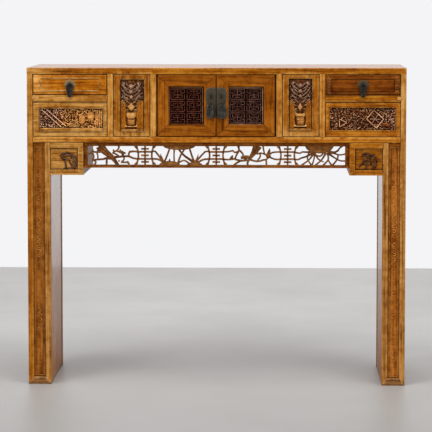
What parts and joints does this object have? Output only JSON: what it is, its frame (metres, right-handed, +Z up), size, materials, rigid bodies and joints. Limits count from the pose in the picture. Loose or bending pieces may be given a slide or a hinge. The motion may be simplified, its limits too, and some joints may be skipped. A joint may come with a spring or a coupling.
{
  "type": "altar table",
  "caption": "Narrow altar table with a case of two drawers and two fret doors on hollow panelled legs, corner bracket boxes and a pierced apron.",
  "frame": {"origin": "on the floor, in the middle of the whole outline, the hanging pulls included", "axes": "+X to the right seen from the front, +Y to the back, +Z up"},
  "size_m": [1.05, 0.3454, 0.885],
  "materials": {
    "lacquered_wood": "glossy lacquered honey-brown wood",
    "carved_wood": "carved and lacquered wood, darker in the hollows",
    "dark_lacquered_wood": "dark red-brown lacquered wood",
    "plain_wood": "plain wood",
    "patinated_brass": "old brass with a dark grey-green patina"
  },
  "bodies": {
    "table": {"apron_frame": "lacquered_wood", "apron_fretwork": "carved_wood", "bay_posts": "lacquered_wood", "bracket_boards": "plain_wood", "bracket_frame_left": "lacquered_wood", "bracket_frame_right": "lacquered_wood", "bracket_panel_left": "carved_wood", "bracket_panel_right": "carved_wood", "carved_panel_left": "carved_wood", "carved_panel_right": "carved_wood", "case_back": "plain_wood", "case_floor": "plain_wood", "case_panels_end": "lacquered_wood", "case_rail_back": "lacquered_wood", "case_rail_front": "lacquered_wood", "case_rails_end": "lacquered_wood", "corner_post_front_left": "lacquered_wood", "corner_post_front_right": "lacquered_wood", "corner_posts_back": "lacquered_wood", "drawer_rails": "lacquered_wood", "drawer_runners": "plain_wood", "foot_rails": "lacquered_wood", "foot_rails_end": "lacquered_wood", "leg_cheeks": "lacquered_wood", "leg_panel_front_left": "carved_wood", "leg_panel_front_right": "carved_wood", "leg_panels_back": "plain_wood", "leg_panels_end": "lacquered_wood", "leg_stiles_back": "lacquered_wood", "leg_stiles_front": "lacquered_wood", "partitions": "plain_wood", "top_panel": "lacquered_wood", "top_rail_back": "lacquered_wood", "top_rail_front": "lacquered_wood", "top_rails_end": "lacquered_wood", "vase_panel_left": "carved_wood", "vase_panel_right": "carved_wood"},
    "drawer_left": {"drawer_left_bottom": "plain_wood", "drawer_left_box": "plain_wood", "drawer_left_front": "lacquered_wood", "drawer_left_plate": "patinated_brass"},
    "drawer_right": {"drawer_right_bottom": "plain_wood", "drawer_right_box": "plain_wood", "drawer_right_front": "lacquered_wood", "drawer_right_plate": "patinated_brass"},
    "door_left": {"door_fret_left": "dark_lacquered_wood", "door_meeting_stile_left": "lacquered_wood", "door_pivot_stile_left": "lacquered_wood", "door_plate_left": "patinated_brass", "door_rails_left": "lacquered_wood"},
    "door_right": {"door_fret_right": "dark_lacquered_wood", "door_meeting_stile_right": "lacquered_wood", "door_pivot_stile_right": "lacquered_wood", "door_plate_right": "patinated_brass", "door_rails_right": "lacquered_wood"},
    "drawer_left_pull": {"drawer_left_pull": "patinated_brass"},
    "drawer_right_pull": {"drawer_right_pull": "patinated_brass"},
    "door_pull_left": {"door_pull_left": "patinated_brass"},
    "door_pull_right": {"door_pull_right": "patinated_brass"}
  },
  "joints": [
    {"name": "drawer_left_slide", "type": "slide", "parent": "table", "child": "drawer_left", "axis": [0, -1, 0], "range_m": [0, 0.2]},
    {"name": "drawer_right_slide", "type": "slide", "parent": "table", "child": "drawer_right", "axis": [0, -1, 0], "range_m": [0, 0.2]},
    {"name": "door_left_hinge", "type": "hinge", "parent": "table", "child": "door_left", "pos_m": [-0.1555, -0.14825, 0.7805], "axis": [0, 0, -1], "range_deg": [0, 95]},
    {"name": "door_right_hinge", "type": "hinge", "parent": "table", "child": "door_right", "pos_m": [0.1555, -0.14825, 0.7805], "axis": [0, 0, 1], "range_deg": [0, 95]},
    {"name": "drawer_left_pull_swing", "type": "hinge", "parent": "drawer_left", "child": "drawer_left_pull", "pos_m": [-0.4055, -0.16575, 0.8395], "axis": [-1, 0, 0], "range_deg": [0, 85]},
    {"name": "drawer_right_pull_swing", "type": "hinge", "parent": "drawer_right", "child": "drawer_right_pull", "pos_m": [0.4055, -0.16575, 0.8395], "axis": [-1, 0, 0], "range_deg": [0, 85]},
    {"name": "door_pull_left_swing", "type": "hinge", "parent": "door_left", "child": "door_pull_left", "pos_m": [-0.017, -0.16575, 0.7815], "axis": [-1, 0, 0], "range_deg": [0, 85]},
    {"name": "door_pull_right_swing", "type": "hinge", "parent": "door_right", "child": "door_pull_right", "pos_m": [0.017, -0.16575, 0.7815], "axis": [-1, 0, 0], "range_deg": [0, 85]}
  ]
}
